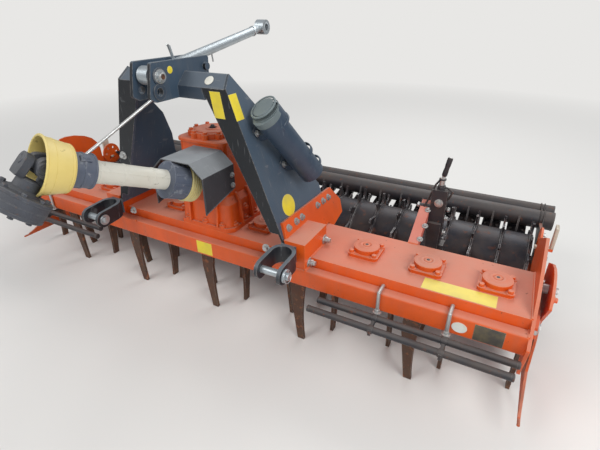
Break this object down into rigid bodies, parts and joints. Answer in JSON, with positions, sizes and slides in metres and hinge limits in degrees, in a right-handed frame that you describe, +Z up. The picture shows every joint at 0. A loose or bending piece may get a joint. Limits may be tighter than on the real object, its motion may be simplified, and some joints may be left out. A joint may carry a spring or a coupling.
{
  "type": "power harrow",
  "caption": "Tractor-mounted power harrow with vertical tine rotors driven by a guarded shaft, a three-point headstock and a toothed packer roller on a hinged frame.",
  "frame": {"origin": "middle of the machine's footprint on the ground, under the tines and the roller", "axes": "+X towards the machine's side on the right in the picture, along the row of rotors; +Y from the tractor side to the roller; +Z up"},
  "size_m": [2.672, 1.7272, 1.2081],
  "materials": {
    "orange_paint": "satin",
    "black_paint": "satin",
    "worn_steel": "worn",
    "dark_steel": "satin",
    "zinc": "satin",
    "chrome_pin": "polished",
    "cream_guard": "matte",
    "yellow_guard": "matte",
    "grey_guard": "matte",
    "canister_plastic": "semi-gloss",
    "black_shield": "satin"
  },
  "bodies": {
    "machine": {"trough": "orange_paint", "rotor_covers": "orange_paint", "front_beam": "orange_paint", "end_plates": "orange_paint", "headstock_arms": "black_paint", "headstock_cross": "black_paint", "headstock_feet": "orange_paint", "top_link_bracket": "black_paint", "top_link_pin": "zinc", "clevises": "dark_steel", "lower_link_pins": "chrome_pin", "gearbox": "orange_paint", "drive_inner_joint": "dark_steel", "drive_guard_tube": "cream_guard", "drive_guard_collars": "grey_guard", "drive_outer_yoke": "dark_steel", "drive_guard_bells": "yellow_guard", "drive_clutch": "dark_steel", "drive_shield": "black_shield", "drive_support_rod": "zinc", "guard_bars": "dark_steel", "beam_u_bolts": "zinc", "canister": "canister_plastic", "levelling_struts": "orange_paint", "levelling_guides": "dark_steel", "levelling_spindles": "zinc", "roller_pivot_pins": "zinc", "depth_stop_pins": "zinc", "deflector_bolts": "zinc"},
    "roller_frame": {"roller_arms": "orange_paint", "roller_frame_tube": "dark_steel", "scraper_tube": "dark_steel", "scrapers": "worn_steel"},
    "roller": {"packer_roller": "dark_steel"},
    "top_link": {"top_link": "zinc"},
    "deflector_left": {"deflector_left": "orange_paint"},
    "deflector_right": {"deflector_right": "orange_paint"},
    "levelling_bar": {"levelling_bar": "dark_steel"},
    "canister_lid": {"canister_lid": "canister_plastic"},
    "rotor_01": {"rotor_01": "worn_steel"},
    "rotor_02": {"rotor_02": "worn_steel"},
    "rotor_03": {"rotor_03": "worn_steel"},
    "rotor_04": {"rotor_04": "worn_steel"},
    "rotor_05": {"rotor_05": "worn_steel"},
    "rotor_06": {"rotor_06": "worn_steel"},
    "rotor_07": {"rotor_07": "worn_steel"},
    "rotor_08": {"rotor_08": "worn_steel"},
    "rotor_09": {"rotor_09": "worn_steel"},
    "rotor_10": {"rotor_10": "worn_steel"},
    "rotor_11": {"rotor_11": "worn_steel"}
  },
  "joints": [
    {"name": "rotor_01_spin", "type": "hinge", "parent": "machine", "child": "rotor_01", "pos_m": [-1.15, -0.02638, 0.3], "axis": [0, 0, 1], "continuous": true},
    {"name": "rotor_02_spin", "type": "hinge", "parent": "machine", "child": "rotor_02", "pos_m": [-0.92, -0.02638, 0.3], "axis": [0, 0, 1], "continuous": true},
    {"name": "rotor_03_spin", "type": "hinge", "parent": "machine", "child": "rotor_03", "pos_m": [-0.69, -0.02638, 0.3], "axis": [0, 0, 1], "continuous": true},
    {"name": "rotor_04_spin", "type": "hinge", "parent": "machine", "child": "rotor_04", "pos_m": [-0.46, -0.02638, 0.3], "axis": [0, 0, 1], "continuous": true},
    {"name": "rotor_05_spin", "type": "hinge", "parent": "machine", "child": "rotor_05", "pos_m": [-0.23, -0.02638, 0.3], "axis": [0, 0, 1], "continuous": true},
    {"name": "rotor_06_spin", "type": "hinge", "parent": "machine", "child": "rotor_06", "pos_m": [0, -0.02638, 0.3], "axis": [0, 0, 1], "continuous": true},
    {"name": "rotor_07_spin", "type": "hinge", "parent": "machine", "child": "rotor_07", "pos_m": [0.23, -0.02638, 0.3], "axis": [0, 0, 1], "continuous": true},
    {"name": "rotor_08_spin", "type": "hinge", "parent": "machine", "child": "rotor_08", "pos_m": [0.46, -0.02638, 0.3], "axis": [0, 0, 1], "continuous": true},
    {"name": "rotor_09_spin", "type": "hinge", "parent": "machine", "child": "rotor_09", "pos_m": [0.69, -0.02638, 0.3], "axis": [0, 0, 1], "continuous": true},
    {"name": "rotor_10_spin", "type": "hinge", "parent": "machine", "child": "rotor_10", "pos_m": [0.92, -0.02638, 0.3], "axis": [0, 0, 1], "continuous": true},
    {"name": "rotor_11_spin", "type": "hinge", "parent": "machine", "child": "rotor_11", "pos_m": [1.15, -0.02638, 0.3], "axis": [0, 0, 1], "continuous": true},
    {"name": "roller_frame_tilt", "type": "hinge", "parent": "machine", "child": "roller_frame", "pos_m": [0, -0.08638, 0.352], "axis": [1, 0, 0], "range_deg": [-8, 0]},
    {"name": "roller_spin", "type": "hinge", "parent": "roller_frame", "child": "roller", "pos_m": [0, 0.52362, 0.21], "axis": [1, 0, 0], "continuous": true},
    {"name": "top_link_swing", "type": "hinge", "parent": "machine", "child": "top_link", "pos_m": [0, -0.31538, 1.065], "axis": [1, 0, 0], "range_deg": [0, 150]},
    {"name": "deflector_left_lift", "type": "hinge", "parent": "machine", "child": "deflector_left", "pos_m": [-1.306, 0.02062, 0.434], "axis": [1, 0, 0], "range_deg": [0, 15]},
    {"name": "deflector_right_lift", "type": "hinge", "parent": "machine", "child": "deflector_right", "pos_m": [1.306, 0.02062, 0.434], "axis": [1, 0, 0], "range_deg": [0, 15]},
    {"name": "levelling_bar_height", "type": "slide", "parent": "machine", "child": "levelling_bar", "axis": [0, 0, 1], "range_m": [-0.06, 0.04]},
    {"name": "canister_lid_open", "type": "hinge", "parent": "machine", "child": "canister_lid", "pos_m": [0.3461, -0.1132, 0.9568], "axis": [-0.9469, 0, -0.3214], "range_deg": [0, 110]}
  ],
  "couplings": [
    {"joint": "rotor_01_spin", "follows": "rotor_06_spin", "ratio": -1},
    {"joint": "rotor_02_spin", "follows": "rotor_06_spin", "ratio": 1},
    {"joint": "rotor_03_spin", "follows": "rotor_06_spin", "ratio": -1},
    {"joint": "rotor_04_spin", "follows": "rotor_06_spin", "ratio": 1},
    {"joint": "rotor_05_spin", "follows": "rotor_06_spin", "ratio": -1},
    {"joint": "rotor_07_spin", "follows": "rotor_06_spin", "ratio": -1},
    {"joint": "rotor_08_spin", "follows": "rotor_06_spin", "ratio": 1},
    {"joint": "rotor_09_spin", "follows": "rotor_06_spin", "ratio": -1},
    {"joint": "rotor_10_spin", "follows": "rotor_06_spin", "ratio": 1},
    {"joint": "rotor_11_spin", "follows": "rotor_06_spin", "ratio": -1}
  ]
}
